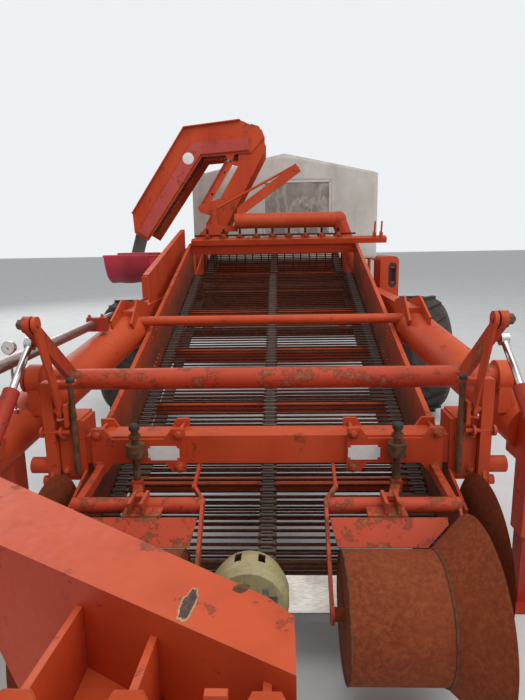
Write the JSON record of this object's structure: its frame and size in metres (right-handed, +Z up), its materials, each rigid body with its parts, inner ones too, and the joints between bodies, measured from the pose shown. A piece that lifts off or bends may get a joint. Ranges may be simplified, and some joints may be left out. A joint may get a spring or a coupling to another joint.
{
  "type": "potato harvester",
  "caption": "Trailed potato harvester with a rod web, ridge rollers, picking platform and folded side elevator.",
  "frame": {"origin": "centre of the machine's box, on the ground", "axes": "+Y rearwards along the machine, +X to the right when looking rearwards, +Z up"},
  "size_m": [3.06, 8.7998, 2.768],
  "materials": {
    "paint": "faded red-orange paint, worn to rust at the edges",
    "deep_paint": "deep red paint, satin",
    "rusty": "surface rust, matt",
    "web_steel": "rusted rods, matt",
    "steel": "bright rod",
    "share_steel": "polished by soil",
    "gearbox": "dark, oily",
    "belt": "dusty rubber",
    "tyre": "matt",
    "guard": "olive yellow plastic",
    "tarp": "off-white coated cloth",
    "crimson": "crimson coated cloth",
    "flap": "grey rubber",
    "deck": "worn tread plate"
  },
  "bodies": {
    "chassis": {"main_frame": "paint", "drawbar_beam": "paint", "tongue": "paint", "axle": "deep_paint", "ram_brackets": "paint", "axle_hangers": "paint", "rear_frame": "paint", "pto_gearbox": "gearbox", "pto_guard": "guard", "drive_shaft": "deep_paint", "second_frame": "paint", "second_web": "web_steel", "second_rollers": "gearbox", "picking_table": "paint", "picking_belt": "belt", "platform": "deck", "railings": "paint", "canopy_frame": "paint", "canopy": "tarp", "arch_tube": "paint", "chain_guard_left": "paint", "chain_guard_right": "paint", "elevator_mast": "paint", "chute": "crimson"},
    "wheel_left": {"tyre_left": "tyre", "rim_left": "paint"},
    "wheel_right": {"tyre_right": "tyre", "rim_right": "paint"},
    "stand_left": {"stand_left": "deep_paint"},
    "stand_right": {"stand_right": "deep_paint"},
    "intake": {"intake_frame": "paint", "web_rods": "web_steel", "web_belts": "belt", "web_rollers": "rusty", "cross_beam": "paint", "spindles": "rusty", "disc_arms": "paint", "roller_frames": "paint", "shares": "share_steel", "tine_rail": "paint", "tines": "belt"},
    "lift_shaft": {"lift_shaft": "paint"},
    "link_left": {"link_left": "paint"},
    "link_right": {"link_right": "paint"},
    "ram_barrel_left": {"lift_barrel_left": "deep_paint"},
    "ram_barrel_right": {"lift_barrel_right": "deep_paint"},
    "ram_rod_left": {"lift_rod_left": "steel"},
    "ram_rod_right": {"lift_rod_right": "steel"},
    "ridge_roller_left": {"ridge_roller_left": "rusty"},
    "ridge_roller_right": {"ridge_roller_right": "rusty"},
    "disc_left": {"disc_left": "rusty"},
    "disc_right": {"disc_right": "rusty"},
    "elevator_lower": {"elevator_lower": "paint", "elevator_lower_web": "belt"},
    "elevator_upper": {"elevator_upper": "paint", "elevator_upper_web": "belt", "flap": "flap"},
    "fold_barrel": {"fold_barrel": "deep_paint"},
    "fold_rod": {"fold_rod": "steel"}
  },
  "joints": [
    {"name": "wheel_left_spin", "type": "hinge", "parent": "chassis", "child": "wheel_left", "pos_m": [-1.32, 1.45, 0.54], "axis": [1, 0, 0], "continuous": true},
    {"name": "wheel_right_spin", "type": "hinge", "parent": "chassis", "child": "wheel_right", "pos_m": [1.32, 1.45, 0.54], "axis": [1, 0, 0], "continuous": true},
    {"name": "stand_left_slide", "type": "slide", "parent": "chassis", "child": "stand_left", "axis": [0, 0, 1], "range_m": [-0.12, 0]},
    {"name": "stand_right_slide", "type": "slide", "parent": "chassis", "child": "stand_right", "axis": [0, 0, 1], "range_m": [-0.12, 0]},
    {"name": "intake_lift", "type": "hinge", "parent": "chassis", "child": "intake", "pos_m": [0, 1.63226, 1.16634], "axis": [1, 0, 0], "range_deg": [0, 4]},
    {"name": "lift_shaft_turn", "type": "hinge", "parent": "chassis", "child": "lift_shaft", "pos_m": [0, -1.2, 1], "axis": [1, 0, 0], "range_deg": [0, 36.32]},
    {"name": "elevator_swing", "type": "hinge", "parent": "chassis", "child": "elevator_lower", "pos_m": [-0.6, 2.43, 1.7], "axis": [0, 1, 0], "range_deg": [-45, 0]},
    {"name": "elevator_fold", "type": "hinge", "parent": "elevator_lower", "child": "elevator_upper", "pos_m": [-0.205, 2.43, 2.59], "axis": [0, 1, 0], "range_deg": [0, 110]},
    {"name": "fold_barrel_swing", "type": "hinge", "parent": "elevator_lower", "child": "fold_barrel", "pos_m": [-0.73, 2.205, 1.93], "axis": [0, 1, 0], "range_deg": [-6.89, 0]},
    {"name": "fold_rod_slide", "type": "slide", "parent": "fold_barrel", "child": "fold_rod", "axis": [0.5346, 0, 0.8451], "range_m": [0, 0.44005]},
    {"name": "link_left_swing", "type": "hinge", "parent": "lift_shaft", "child": "link_left", "pos_m": [-0.83, -1.6, 1.31], "axis": [1, 0, 0], "range_deg": [-14.6, 0]},
    {"name": "ram_barrel_left_swing", "type": "hinge", "parent": "chassis", "child": "ram_barrel_left", "pos_m": [-0.915, -1.85, 0.93], "axis": [1, 0, 0], "range_deg": [-22.83, 0]},
    {"name": "ram_rod_left_slide", "type": "slide", "parent": "ram_barrel_left", "child": "ram_rod_left", "axis": [0, 0.7902, 0.6129], "range_m": [-0.16213, 0]},
    {"name": "ridge_roller_left_spin", "type": "hinge", "parent": "intake", "child": "ridge_roller_left", "pos_m": [-0.47, -1.998, 0.419], "axis": [1, 0, 0], "continuous": true},
    {"name": "disc_left_spin", "type": "hinge", "parent": "intake", "child": "disc_left", "pos_m": [-0.8, -1.7, 0.44], "axis": [1, 0, 0], "continuous": true},
    {"name": "link_right_swing", "type": "hinge", "parent": "lift_shaft", "child": "link_right", "pos_m": [0.83, -1.6, 1.31], "axis": [1, 0, 0], "range_deg": [-14.6, 0]},
    {"name": "ram_barrel_right_swing", "type": "hinge", "parent": "chassis", "child": "ram_barrel_right", "pos_m": [0.915, -1.85, 0.93], "axis": [1, 0, 0], "range_deg": [-22.83, 0]},
    {"name": "ram_rod_right_slide", "type": "slide", "parent": "ram_barrel_right", "child": "ram_rod_right", "axis": [0, 0.7902, 0.6129], "range_m": [-0.16213, 0]},
    {"name": "ridge_roller_right_spin", "type": "hinge", "parent": "intake", "child": "ridge_roller_right", "pos_m": [0.47, -1.998, 0.419], "axis": [1, 0, 0], "continuous": true},
    {"name": "disc_right_spin", "type": "hinge", "parent": "intake", "child": "disc_right", "pos_m": [0.8, -1.7, 0.44], "axis": [1, 0, 0], "continuous": true}
  ],
  "couplings": [
    {"joint": "lift_shaft_turn", "follows": "intake_lift", "ratio": 9.0712},
    {"joint": "fold_barrel_swing", "follows": "elevator_fold", "ratio": -0.06205},
    {"joint": "fold_rod_slide", "follows": "elevator_fold", "m_per_rad": 0.22898},
    {"joint": "link_left_swing", "follows": "intake_lift", "ratio": -3.6456},
    {"joint": "ram_barrel_left_swing", "follows": "intake_lift", "ratio": -5.7029},
    {"joint": "ram_rod_left_slide", "follows": "intake_lift", "m_per_rad": -2.32},
    {"joint": "link_right_swing", "follows": "intake_lift", "ratio": -3.6456},
    {"joint": "ram_barrel_right_swing", "follows": "intake_lift", "ratio": -5.7029},
    {"joint": "ram_rod_right_slide", "follows": "intake_lift", "m_per_rad": -2.32}
  ]
}
